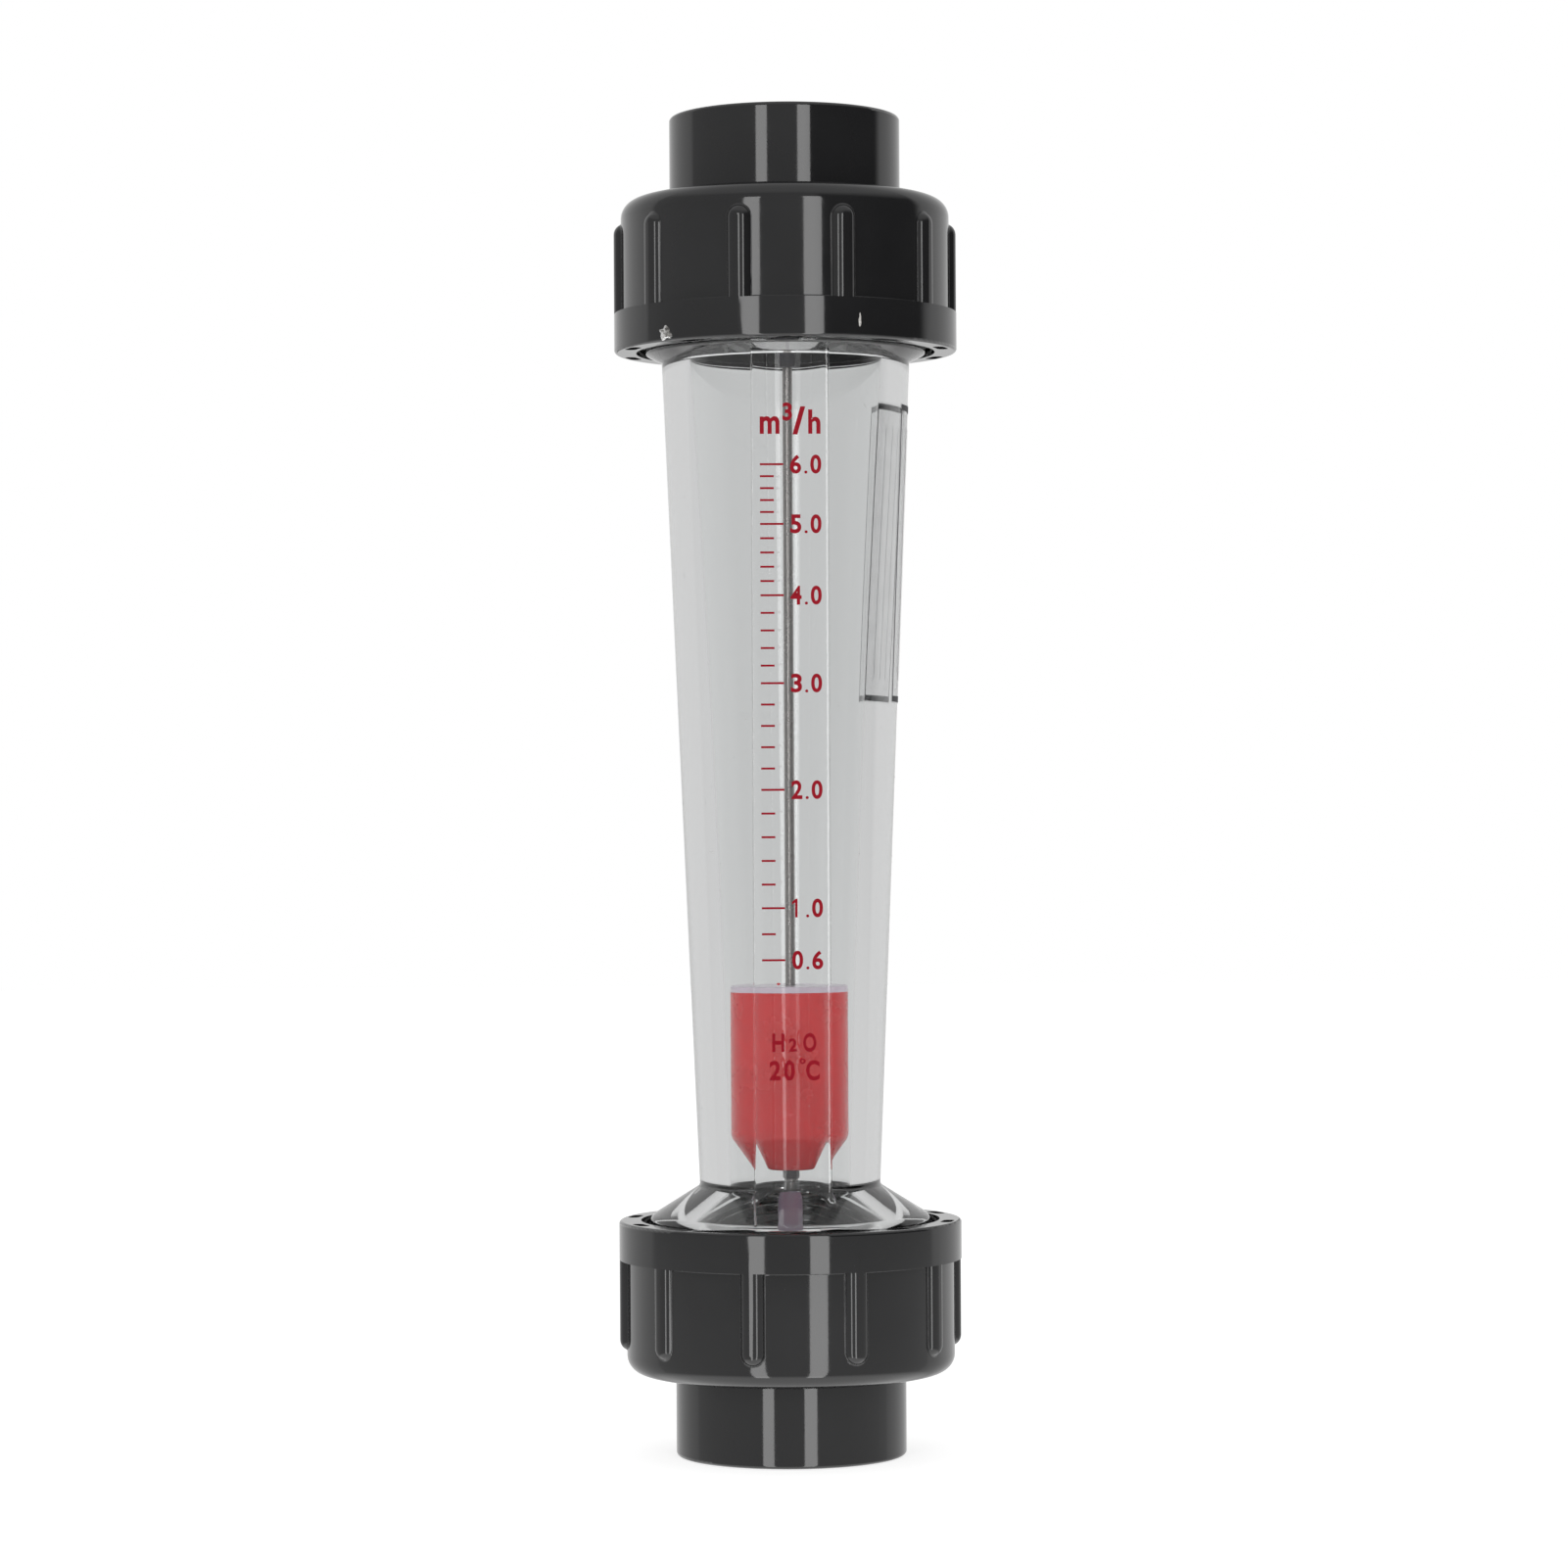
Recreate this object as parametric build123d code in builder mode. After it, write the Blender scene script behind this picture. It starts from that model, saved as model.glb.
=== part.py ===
from build123d import *
import math
import os

# A variable-area water flow meter in millimetres, standing on its inlet socket.
# +Z is the flow direction, the origin is the centre of the inlet's end face, and
# the flat scale panel of the clear tube looks along -Y.

# Glue sockets for 63 mm pipe, one at each end
pipe_r = 31.5
glue_gap = 0.1
socket_wall = 5.9
socket_depth = 38.0
pipe_stop_thickness = 3.0
passage_r = 25.5
collar_thickness = 6.7
collar_gap = 1.6
socket_outer_round = 1.25
socket_lead_in = 1.5

# Ring seal between each socket's collar and the tube's end
seal_land = 1.2
seal_width = 5.0
seal_groove_depth = 4.0
seal_side_gap = 0.1
seal_section_round = 1.9
seal_gap = 0.3

# Union nuts
nut_play = 0.3
lip_thickness = 7.05
lip_bore_gap = 0.4
nut_height = 49.55
nut_wall = 5.6
nut_shoulder_round = 5.9
rim_height = 12.6
rim_step = 2.35
rim_round = 1.0
mouth_widening = 0.8
mouth_depth = 3.0
rib_count = 10
rib_width = 8.0
rib_foot_gap = 1.55
rib_crest_round = 3.5
rib_root_round = 0.6
rim_pocket_width = 3.6
rim_pocket_angle = 6.0
rim_pocket_depth = 1.2
inlet_rib_clocking = 20.9
outlet_rib_clocking = 18.2

# Passage through the clear tube: a funnel inside the inlet's shoulder, a short
# throat, then a measuring taper that flares upwards into the outlet's chamber
throat_r = 19.6
throat_length = 7.2
outlet_bore_r = 31.2
taper_flare = 1.2
taper_end_below_neck = 3.3
chamber_step = 2.8
outlet_cone_length = 3.0
funnel_wall = 9.5
funnel_round = 4.0

# Outside of the clear tube
tube_length = 352.4
inlet_neck_wall = 9.8
inlet_neck_height = 46.55
outlet_neck_wall = 9.1
outlet_neck_height = 38.4
thread_land = 4.4
thread_chamfer = 1.5
rim_relief = 1.9
rim_band = 4.5
shoulder_slope = 32.0
shoulder_round = 3.0
neck_round = 1.5

# Flat scale panel on the front of the tube
panel_width = 25.0
panel_lift = 0.3
panel_edge_round = 0.6
panel_bury = 3.0
panel_cover = 3.0

# Adhesive label round the tube's right side
label_height = 97.0
label_width = 26.5
label_thickness = 0.15
label_film_gap = 0.03
label_top_below_neck = 14.3
label_bearing = 87.0
label_corner_round = 1.0

# Spoked holders that carry the guide rod, each with a cone on its hub
holder_ledge = 2.5
holder_seat_gap = 0.2
holder_ring_wall = 4.5
holder_height = 8.7
hub_r = 7.0
spoke_count = 3
spoke_width = 3.2
spoke_round = 0.8
cone_height = 7.3
cone_taper = 6.0

# Guide rod, its end nuts and the sleeves that stop the float
rod_r = 2.5
rod_end_chamfer = 0.5
rod_gap = 0.05
rod_projection = 1.0
rod_nut_width = 8.0
rod_nut_height = 4.0
rod_nut_gap = 0.02
rod_nut_chamfer = 0.35
sleeve_wall = 1.55
sleeve_gap = 0.1
sleeve_round = 0.4
inlet_sleeve_length = 33.0
outlet_sleeve_length = 24.5
stop_gap = 0.2

# Float with its steel weight, cap and guide bushes
float_gap = 0.45
float_height = 59.5
float_nose_r = 11.7
float_nose_height = 10.65
float_nose_round = 5.0
float_tip_round = 1.5
float_floor = 6.5
weight_r = 10.0
weight_gap = 0.1
weight_bore_gap = 1.1
cap_rim_height = 2.0
cap_rim_round = 0.5
cap_spigot_r = 15.0
cap_spigot_height = 3.0
cap_gap = 0.05
bush_flange_wall = 1.65
bush_flange_height = 3.0
bush_shank_wall = 1.1
bush_shank_height = 5.0
bush_gap = 0.02
bush_running_gap = 0.05
bush_edge_chamfer = 0.3

# Radii that follow each other outwards from the tube's passage
chamber_r = outlet_bore_r + chamber_step
holder_r = chamber_r + holder_ledge
holder_seat_r = holder_r + holder_seat_gap
groove_width = seal_width + 2 * seal_side_gap
seal_mid_r = holder_seat_r + seal_land + groove_width / 2
thread_r = seal_mid_r + groove_width / 2 + thread_land
shoulder_rim_r = thread_r - rim_relief
nut_thread_r = thread_r + nut_play
nut_body_r = nut_thread_r + nut_wall
rim_r = nut_body_r + rim_step
mouth_r = nut_thread_r + mouth_widening
collar_r = nut_thread_r - collar_gap
socket_bore_r = pipe_r + glue_gap
socket_r = socket_bore_r + socket_wall
inlet_neck_r = throat_r + inlet_neck_wall
outlet_neck_r = outlet_bore_r + outlet_neck_wall
float_r = throat_r - float_gap

# Heights that both ends share, measured inwards from the socket's end face
collar_face = socket_depth + pipe_stop_thickness
collar_back = collar_face - collar_thickness
tube_face = collar_face + seal_gap
lip_back = collar_back - nut_play
lip_face = lip_back - lip_thickness
rim_face = lip_face + nut_height
rim_ledge = rim_face - rim_height
rib_end = lip_face + nut_shoulder_round + rib_foot_gap
overall_length = 2 * tube_face + tube_length

# Heights above the inlet's end face. The funnel's wall runs parallel to the
# shoulder outside it.
tube_top = overall_length - tube_face
inlet_neck = tube_face + inlet_neck_height
outlet_neck = tube_top - outlet_neck_height
shoulder_fall = math.tan(math.radians(shoulder_slope))
inlet_rim = inlet_neck - (shoulder_rim_r - inlet_neck_r) * shoulder_fall
outlet_rim = outlet_neck + (shoulder_rim_r - outlet_neck_r) * shoulder_fall
funnel_depth = funnel_wall / math.cos(math.radians(shoulder_slope))
funnel_top = inlet_neck - (throat_r - inlet_neck_r) * shoulder_fall - funnel_depth
funnel_foot = inlet_neck - (chamber_r - inlet_neck_r) * shoulder_fall - funnel_depth
taper_foot = funnel_top + throat_length
taper_top = outlet_neck - taper_end_below_neck

# Rod, holders and stops, measured inwards from either end. The rod's nut lies
# flush with the tube's end, under the hub, and the cone stands on the hub.
hub_base = tube_face + rod_nut_height
holder_top = tube_face + holder_height
cone_top = holder_top + cone_height
holder_inner_r = holder_r - holder_ring_wall
rod_start = tube_face - rod_projection
sleeve_bore_r = rod_r + sleeve_gap
sleeve_r = sleeve_bore_r + sleeve_wall

# Float at rest on the lower sleeve
bush_bottom = cone_top + inlet_sleeve_length + stop_gap
float_bottom = bush_bottom + bush_flange_height
float_top = float_bottom + float_height
bush_bore_r = rod_r + bush_running_gap
bush_flange_r = bush_bore_r + bush_flange_wall
bush_shank_r = bush_bore_r + bush_shank_wall
cap_seat = float_top - cap_rim_height
cap_base = cap_seat - cap_spigot_height
weight_base = float_bottom + float_floor

# Radial half-planes of the two ends: local X points out from the axis and local Y
# points inwards from that end's face, so that one profile serves both ends.
radial_planes = {
    "inlet": Plane(origin=(0, 0, 0), x_dir=(1, 0, 0), z_dir=(0, -1, 0)),
    "outlet": Plane(origin=(0, 0, overall_length), x_dir=(1, 0, 0), z_dir=(0, 1, 0)),
}
# Bearings of the first rib, in degrees to the right of the scale panel
rib_clocking = {"inlet": inlet_rib_clocking, "outlet": outlet_rib_clocking}


def corner(sketch, radius, height):
    return sketch.vertices().sort_by_distance((radius, height))[0]


def cross_plane(radial, height):
    face = Plane(origin=radial.origin, x_dir=radial.x_dir, z_dir=radial.y_dir)
    return face.offset(height)


def save(builder, name):
    builder.part.label = name
    export_step(builder.part, f"parts/{name}.step")


def tube_outer_r(height):
    slope = (outlet_neck_r - inlet_neck_r) / (outlet_neck - inlet_neck)
    return inlet_neck_r + slope * (height - inlet_neck)


# Glue socket with its bolting collar and the groove for the ring seal
def make_socket(radial):
    with BuildPart() as socket:
        with BuildSketch(radial) as wall:
            with BuildLine():
                Polyline(
                    (socket_bore_r, 0),
                    (socket_r, 0),
                    (socket_r, collar_back),
                    (collar_r, collar_back),
                    (collar_r, collar_face),
                    (passage_r, collar_face),
                    (passage_r, socket_depth),
                    (socket_bore_r, socket_depth),
                    close=True,
                )
            make_face()
            fillet(corner(wall, socket_r, 0), socket_outer_round)
            chamfer(corner(wall, socket_bore_r, 0), socket_lead_in)
        revolve(axis=Axis.Z)
        with BuildSketch(radial):
            with Locations((seal_mid_r, collar_face)):
                Rectangle(groove_width, 2 * seal_groove_depth)
        revolve(axis=Axis.Z, mode=Mode.SUBTRACT)
    return socket


# Seal squeezed between the groove's floor and the tube's end face
def make_seal_ring(radial):
    seal_height = seal_groove_depth + seal_gap
    with BuildPart() as seal:
        with BuildSketch(radial) as section:
            with Locations((seal_mid_r, tube_face - seal_height / 2)):
                RectangleRounded(seal_width, seal_height, seal_section_round)
        revolve(axis=Axis.Z)
    return seal


# One grip rib, a bar with a round end that dies into the nut's rim
def make_rib(radial):
    outward = Plane(origin=radial.origin, x_dir=radial.y_dir.cross(Vector(1, 0, 0)), z_dir=(1, 0, 0))
    round_mid = rib_end + rib_width / 2
    straight = rim_ledge + rim_height / 2 - round_mid
    root_r = nut_body_r - rim_step
    crest_half = rib_width / 2 - rib_crest_round
    with BuildPart() as rib:
        with BuildSketch(outward.offset(root_r)):
            with Locations((0, round_mid + straight / 2)):
                Rectangle(rib_width, straight)
            with Locations((0, round_mid)):
                Circle(rib_width / 2)
        extrude(amount=math.sqrt(rim_r**2 - crest_half**2) - root_r)
        fillet(rib.faces().sort_by(Axis.X)[-1].edges(), rib_crest_round)
    return rib


# Edges where the ribs and the rim's step rise from the nut's body
def rib_root_edges(nut, radial):
    inwards = Axis(radial.origin, radial.y_dir)
    shoulder_end = lip_face + nut_shoulder_round
    grip = nut.edges().filter_by_position(inwards, shoulder_end + rib_root_round, rim_ledge + rib_root_round)
    on_body = []
    for edge in grip:
        reach = [math.hypot((edge @ place).X, (edge @ place).Y) for place in (0, 0.5, 1)]
        if max(reach) - nut_body_r < 0.01 and nut_body_r - min(reach) < 0.01:
            on_body.append(edge)
    return on_body


# Union nut: lip, domed shoulder, ribbed grip and stepped rim
def make_union_nut(radial, clocking):
    rib = make_rib(radial)
    with BuildPart() as nut:
        with BuildSketch(radial) as wall:
            with BuildLine():
                Polyline(
                    (socket_r + lip_bore_gap, lip_face),
                    (nut_body_r, lip_face),
                    (nut_body_r, rim_ledge),
                    (rim_r, rim_ledge),
                    (rim_r, rim_face),
                    (mouth_r, rim_face),
                    (mouth_r, rim_face - mouth_depth),
                    (nut_thread_r, rim_face - mouth_depth - mouth_widening),
                    (nut_thread_r, lip_back),
                    (socket_r + lip_bore_gap, lip_back),
                    close=True,
                )
            make_face()
            fillet(corner(wall, nut_body_r, lip_face), nut_shoulder_round)
            fillet(corner(wall, rim_r, rim_face), rim_round)
        revolve(axis=Axis.Z)
        with PolarLocations(0, rib_count, start_angle=clocking - 90):
            add(rib.part)
        fillet(rib_root_edges(nut, radial), rib_root_round)
        pocket_mid_r = (mouth_r + rim_r) / 2
        half_pitch = 180 / rib_count
        with BuildSketch(cross_plane(radial, rim_face)):
            for turn in range(rib_count):
                bearing = clocking + half_pitch * (2 * turn + 1)
                angle = (bearing - 90) * radial.y_dir.Z
                SlotArc(
                    CenterArc((0, 0), pocket_mid_r, angle - rim_pocket_angle / 2, rim_pocket_angle),
                    rim_pocket_width,
                )
        extrude(amount=-rim_pocket_depth, mode=Mode.SUBTRACT)
    return nut


# Holder ring in the tube's end with a spoked hub for the rod
def make_rod_holder(radial):
    hub_height = holder_top - hub_base
    with BuildPart() as holder:
        with BuildSketch(cross_plane(radial, hub_base)):
            spoke_run = holder_inner_r + holder_ring_wall / 2
            with PolarLocations(spoke_run / 2, spoke_count, start_angle=90 * radial.y_dir.Z):
                Rectangle(spoke_run, spoke_width)
        extrude(amount=hub_height)
        upstream = Axis(radial.origin, radial.y_dir)
        fillet(holder.edges().group_by(upstream)[0], spoke_round)
        with BuildSketch(cross_plane(radial, tube_face)):
            Circle(holder_r)
            Circle(holder_inner_r, mode=Mode.SUBTRACT)
        extrude(amount=holder_height)
        with BuildSketch(cross_plane(radial, hub_base)):
            Circle(hub_r)
        extrude(amount=hub_height)
        with BuildSketch(cross_plane(radial, hub_base)):
            Circle(rod_r + rod_gap)
        extrude(amount=hub_height, mode=Mode.SUBTRACT)
    return holder


# Cone on the hub, which leads the flow round the rod
def make_rod_cone(radial):
    with BuildPart() as cone:
        with BuildSketch(cross_plane(radial, holder_top)):
            Circle(hub_r)
        extrude(amount=cone_height, taper=cone_taper)
        with BuildSketch(cross_plane(radial, holder_top)):
            Circle(rod_r + rod_gap)
        extrude(amount=cone_height, mode=Mode.SUBTRACT)
    return cone


# Sleeve on the rod between the cone and the end of the float's travel
def make_stop_sleeve(radial, length):
    stop_height = cone_top + length
    with BuildPart() as sleeve:
        with BuildSketch(radial) as wall:
            with BuildLine():
                Polyline(
                    (sleeve_bore_r, cone_top),
                    (sleeve_r, cone_top),
                    (sleeve_r, stop_height),
                    (sleeve_bore_r, stop_height),
                    close=True,
                )
            make_face()
            fillet(corner(wall, sleeve_r, stop_height), sleeve_round)
        revolve(axis=Axis.Z)
    return sleeve


# Hexagon nut under the holder's hub
def make_rod_nut(radial):
    with BuildPart() as nut:
        with BuildSketch(cross_plane(radial, tube_face)):
            RegularPolygon(rod_nut_width / 2, 6, major_radius=False)
            Circle(rod_r + rod_nut_gap, mode=Mode.SUBTRACT)
        extrude(amount=rod_nut_height)
        rim = nut.edges().filter_by(GeomType.LINE).filter_by(Plane.XY)
        chamfer(rim, rod_nut_chamfer)
    return nut


os.makedirs("parts", exist_ok=True)

sleeve_lengths = {"inlet": inlet_sleeve_length, "outlet": outlet_sleeve_length}
for end, radial in radial_planes.items():
    save(make_socket(radial), f"{end}_socket")
    save(make_seal_ring(radial), f"{end}_seal_ring")
    save(make_union_nut(radial, rib_clocking[end]), f"{end}_union_nut")
    save(make_rod_holder(radial), f"{end}_rod_holder")
    save(make_rod_cone(radial), f"{end}_rod_cone")
    save(make_stop_sleeve(radial, sleeve_lengths[end]), f"{end}_stop_sleeve")
    save(make_rod_nut(radial), f"{end}_rod_nut")

# Clear tube, revolved in one piece: threaded ends, sloping shoulders and a conical
# outside, round the funnel, the throat, the measuring taper and the end chambers
thread_step = thread_r - shoulder_rim_r
inlet_thread_end = inlet_rim - rim_band
outlet_thread_end = outlet_rim + rim_band
outlet_seat = tube_top - holder_height
outlet_chamber = taper_top + outlet_cone_length
taper_mid = (
    (throat_r + outlet_bore_r) / 2 - taper_flare,
    (taper_foot + taper_top) / 2,
)
with BuildPart() as measuring_tube:
    with BuildSketch(Plane.XZ) as wall:
        with BuildLine():
            Polyline(
                (holder_seat_r, tube_face),
                (thread_r, tube_face),
                (thread_r, inlet_thread_end - thread_step),
                (shoulder_rim_r, inlet_thread_end),
                (shoulder_rim_r, inlet_rim),
                (inlet_neck_r, inlet_neck),
                (outlet_neck_r, outlet_neck),
                (shoulder_rim_r, outlet_rim),
                (shoulder_rim_r, outlet_thread_end),
                (thread_r, outlet_thread_end + thread_step),
                (thread_r, tube_top),
                (holder_seat_r, tube_top),
                (holder_seat_r, outlet_seat),
                (chamber_r, outlet_seat),
                (chamber_r, outlet_chamber),
                (outlet_bore_r, taper_top),
            )
            ThreePointArc((outlet_bore_r, taper_top), taper_mid, (throat_r, taper_foot))
            Polyline(
                (throat_r, taper_foot),
                (throat_r, funnel_top),
                (chamber_r, funnel_foot),
                (chamber_r, holder_top),
                (holder_seat_r, holder_top),
                (holder_seat_r, tube_face),
            )
        make_face()
        fillet(corner(wall, throat_r, funnel_top), funnel_round)
        fillet(corner(wall, chamber_r, funnel_foot), funnel_round)
        fillet(corner(wall, chamber_r, outlet_chamber), funnel_round)
        fillet(corner(wall, shoulder_rim_r, inlet_rim), shoulder_round)
        fillet(corner(wall, shoulder_rim_r, outlet_rim), shoulder_round)
        fillet(corner(wall, inlet_neck_r, inlet_neck), neck_round)
        fillet(corner(wall, outlet_neck_r, outlet_neck), neck_round)
        chamfer(corner(wall, thread_r, tube_face), thread_chamfer)
        chamfer(corner(wall, thread_r, tube_top), thread_chamfer)
    revolve(axis=Axis.Z)
    # The panel's front lies parallel to the cone, just proud of it, and both of
    # its ends die into the shoulders.
    panel_foot = inlet_neck - panel_bury
    panel_head = outlet_neck + panel_bury
    with BuildSketch(Plane.YZ):
        with BuildLine():
            Polyline(
                (-tube_outer_r(panel_foot) - panel_lift, panel_foot),
                (-tube_outer_r(panel_head) - panel_lift, panel_head),
                (-outlet_bore_r - panel_cover, panel_head),
                (-throat_r - panel_cover, panel_foot),
                close=True,
            )
        make_face()
    extrude(amount=panel_width / 2, both=True)
    panel_front = measuring_tube.faces().filter_by(GeomType.PLANE).sort_by(Axis.Y)[0]
    long_edges = panel_front.edges().sort_by(SortBy.LENGTH)[-2:]
    fillet(long_edges, panel_edge_round)
save(measuring_tube, "measuring_tube")

# Label, a thin film that follows the cone on the side of the tube
label_top = outlet_neck - label_top_below_neck
label_base = label_top - label_height
label_mid_r = tube_outer_r((label_top + label_base) / 2)
label_sweep = math.degrees(label_width / label_mid_r)
label_start = Plane.XZ.rotated((0, 0, label_bearing - 90 - label_sweep / 2))
with BuildPart() as tube_label:
    with BuildSketch(label_start):
        with BuildLine():
            Polyline(
                (tube_outer_r(label_base) + label_film_gap, label_base),
                (tube_outer_r(label_base) + label_film_gap + label_thickness, label_base),
                (tube_outer_r(label_top) + label_film_gap + label_thickness, label_top),
                (tube_outer_r(label_top) + label_film_gap, label_top),
                close=True,
            )
        make_face()
    revolve(axis=Axis.Z, revolution_arc=label_sweep)
    corners = tube_label.edges().sort_by(SortBy.LENGTH)[:4]
    fillet(corners, label_corner_round)
save(tube_label, "tube_label")

# Guide rod from nut to nut
with BuildPart() as guide_rod:
    with BuildSketch(Plane.XY.offset(rod_start)):
        Circle(rod_r)
    extrude(amount=overall_length - 2 * rod_start)
    chamfer(guide_rod.edges().filter_by(GeomType.CIRCLE), rod_end_chamfer)
save(guide_rod, "guide_rod")

# Float shell: a cylinder with a blunt nose below, open at the top for the weight
with BuildPart() as float_body:
    with BuildSketch(Plane.XZ) as wall:
        with BuildLine():
            Polyline(
                (bush_shank_r + bush_gap, float_bottom),
                (float_nose_r, float_bottom),
                (float_r, float_bottom + float_nose_height),
                (float_r, cap_seat),
                (cap_spigot_r + cap_gap, cap_seat),
                (cap_spigot_r + cap_gap, cap_base),
                (weight_r + weight_gap, cap_base),
                (weight_r + weight_gap, weight_base),
                (bush_shank_r + bush_gap, weight_base),
                close=True,
            )
        make_face()
        fillet(corner(wall, float_r, float_bottom + float_nose_height), float_nose_round)
        fillet(corner(wall, float_nose_r, float_bottom), float_tip_round)
    revolve(axis=Axis.Z)
save(float_body, "float_body")

# Steel sleeve that sets the float's weight
with BuildPart() as float_weight:
    with BuildSketch(Plane.XY.offset(weight_base)):
        Circle(weight_r)
        Circle(rod_r + weight_bore_gap, mode=Mode.SUBTRACT)
    extrude(amount=cap_base - weight_base)
    chamfer(float_weight.edges().filter_by(GeomType.CIRCLE), bush_edge_chamfer)
save(float_weight, "float_weight")

# Pale cap glued on the float's top by its spigot, recessed for the upper bush
with BuildPart() as float_cap:
    with BuildSketch(Plane.XZ) as wall:
        with BuildLine():
            Polyline(
                (bush_shank_r + bush_gap, cap_base),
                (cap_spigot_r, cap_base),
                (cap_spigot_r, cap_seat),
                (float_r, cap_seat),
                (float_r, float_top),
                (bush_flange_r + bush_gap, float_top),
                (bush_flange_r + bush_gap, float_top - bush_flange_height),
                (bush_shank_r + bush_gap, float_top - bush_flange_height),
                close=True,
            )
        make_face()
        fillet(corner(wall, float_r, float_top), cap_rim_round)
    revolve(axis=Axis.Z)
save(float_cap, "float_cap")


# Flanged guide bush with its flange's outer face at the given height
def make_bush(flange_face, inwards, shank_height):
    with BuildPart() as bush:
        with BuildSketch(Plane.XZ) as wall:
            with BuildLine():
                Polyline(
                    (bush_bore_r, flange_face),
                    (bush_flange_r, flange_face),
                    (bush_flange_r, flange_face + inwards * bush_flange_height),
                    (bush_shank_r, flange_face + inwards * bush_flange_height),
                    (bush_shank_r, flange_face + inwards * (bush_flange_height + shank_height)),
                    (bush_bore_r, flange_face + inwards * (bush_flange_height + shank_height)),
                    close=True,
                )
            make_face()
            chamfer(corner(wall, bush_flange_r, flange_face), bush_edge_chamfer)
        revolve(axis=Axis.Z)
    return bush


save(make_bush(bush_bottom, 1, bush_shank_height), "float_lower_bush")
save(make_bush(float_top, -1, float_top - bush_flange_height - cap_base), "float_upper_bush")
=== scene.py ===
import bpy
import bmesh
import math
from mathutils import Matrix, Vector, noise


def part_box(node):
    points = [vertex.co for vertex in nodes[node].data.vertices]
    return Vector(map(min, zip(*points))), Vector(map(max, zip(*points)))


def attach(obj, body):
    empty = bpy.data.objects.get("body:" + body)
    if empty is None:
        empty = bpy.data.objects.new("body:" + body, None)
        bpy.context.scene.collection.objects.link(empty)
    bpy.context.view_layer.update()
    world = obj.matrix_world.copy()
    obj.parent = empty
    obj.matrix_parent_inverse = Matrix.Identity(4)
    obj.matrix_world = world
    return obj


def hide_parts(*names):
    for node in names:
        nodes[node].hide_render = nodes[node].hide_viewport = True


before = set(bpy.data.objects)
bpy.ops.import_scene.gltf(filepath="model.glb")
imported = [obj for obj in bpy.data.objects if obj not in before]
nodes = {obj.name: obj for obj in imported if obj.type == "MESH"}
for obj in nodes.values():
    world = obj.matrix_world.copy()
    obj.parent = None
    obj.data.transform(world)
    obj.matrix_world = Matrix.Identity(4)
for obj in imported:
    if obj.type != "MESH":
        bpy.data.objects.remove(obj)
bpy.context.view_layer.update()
scene = bpy.context.scene
print("frame loaded:", len(nodes), "solids")

mm = 0.001


def linear(hexColour):
    channels = [int(hexColour[i:i + 2], 16) / 255 for i in (1, 3, 5)]
    return [c / 12.92 if c <= 0.04045 else ((c + 0.055) / 1.055) ** 2.4 for c in channels] + [1.0]


def addNode(tree, kind, settings=None, values=None, links=None):
    node = tree.nodes.new(kind)
    for name, value in (settings or {}).items():
        setattr(node, name, value)
    for socket, value in (values or {}).items():
        node.inputs[socket].default_value = value
    for socket, source in (links or {}).items():
        tree.links.new(source, node.inputs[socket])
    return node


def maths(tree, operation, *terms):
    # one math node; each term is a number or another node's output
    node = addNode(tree, "ShaderNodeMath", {"operation": operation})
    for socket, term in zip(node.inputs, terms):
        if isinstance(term, (int, float)):
            socket.default_value = term
        else:
            tree.links.new(term, socket)
    return node.outputs[0]


def newMaterial(name):
    material = bpy.data.materials.new(name)
    material.use_nodes = True
    material.node_tree.nodes.clear()
    return material, material.node_tree


def meshPiece(name, points, faces, material):
    mesh = bpy.data.meshes.new(name)
    mesh.from_pydata([tuple(p) for p in points], [], faces)
    mesh.validate()
    piece = bpy.data.objects.new(name, mesh)
    scene.collection.objects.link(piece)
    mesh.materials.append(material)
    return piece


def smoothBelow(mesh, degrees):
    # smooth faces with a hard edge only where the surface really turns
    limit = math.radians(degrees)
    work = bmesh.new()
    work.from_mesh(mesh)
    for face in work.faces:
        face.smooth = True
    for edge in work.edges:
        edge.smooth = len(edge.link_faces) == 2 and edge.calc_face_angle() < limit
    work.to_mesh(mesh)
    work.free()


def geometryTree(name, inputs):
    tree = bpy.data.node_groups.new(name, "GeometryNodeTree")
    face = tree.interface
    face.new_socket("Geometry", in_out="OUTPUT", socket_type="NodeSocketGeometry")
    for title, kind in {"Geometry": "Geometry", **inputs}.items():
        face.new_socket(title, in_out="INPUT", socket_type="NodeSocket" + kind)
    return tree, addNode(tree, "NodeGroupInput")


def pointValue(tree, name):
    return addNode(tree, "GeometryNodeInputNamedAttribute", {"data_type": "FLOAT"},
                   {"Name": name}).outputs["Attribute"]


def finishTree(tree, made, material):
    # real geometry of one material comes out
    real = addNode(tree, "GeometryNodeRealizeInstances", links={0: made})
    done = addNode(tree, "GeometryNodeSetMaterial",
                   links={"Geometry": real.outputs[0], "Material": material})
    addNode(tree, "NodeGroupOutput", links={0: done.outputs[0]})


def grow(piece, tree, inputs):
    # sets the tree's named inputs by identifier, then turns its result into a plain mesh
    modifier = piece.modifiers.new(tree.name, "NODES")
    modifier.node_group = tree
    for item in tree.interface.items_tree:
        if item.in_out == "INPUT" and item.name in inputs:
            modifier[item.identifier] = inputs[item.name]
    graph = bpy.context.evaluated_depsgraph_get()
    mesh = bpy.data.meshes.new_from_object(piece.evaluated_get(graph))
    piece.modifiers.clear()
    piece.data = mesh


def setPointValues(piece, name, values):
    field = piece.data.attributes.new(name, "FLOAT", "POINT")
    field.data.foreach_set("value", values)


# the camera stands where the photograph was taken from

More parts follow.
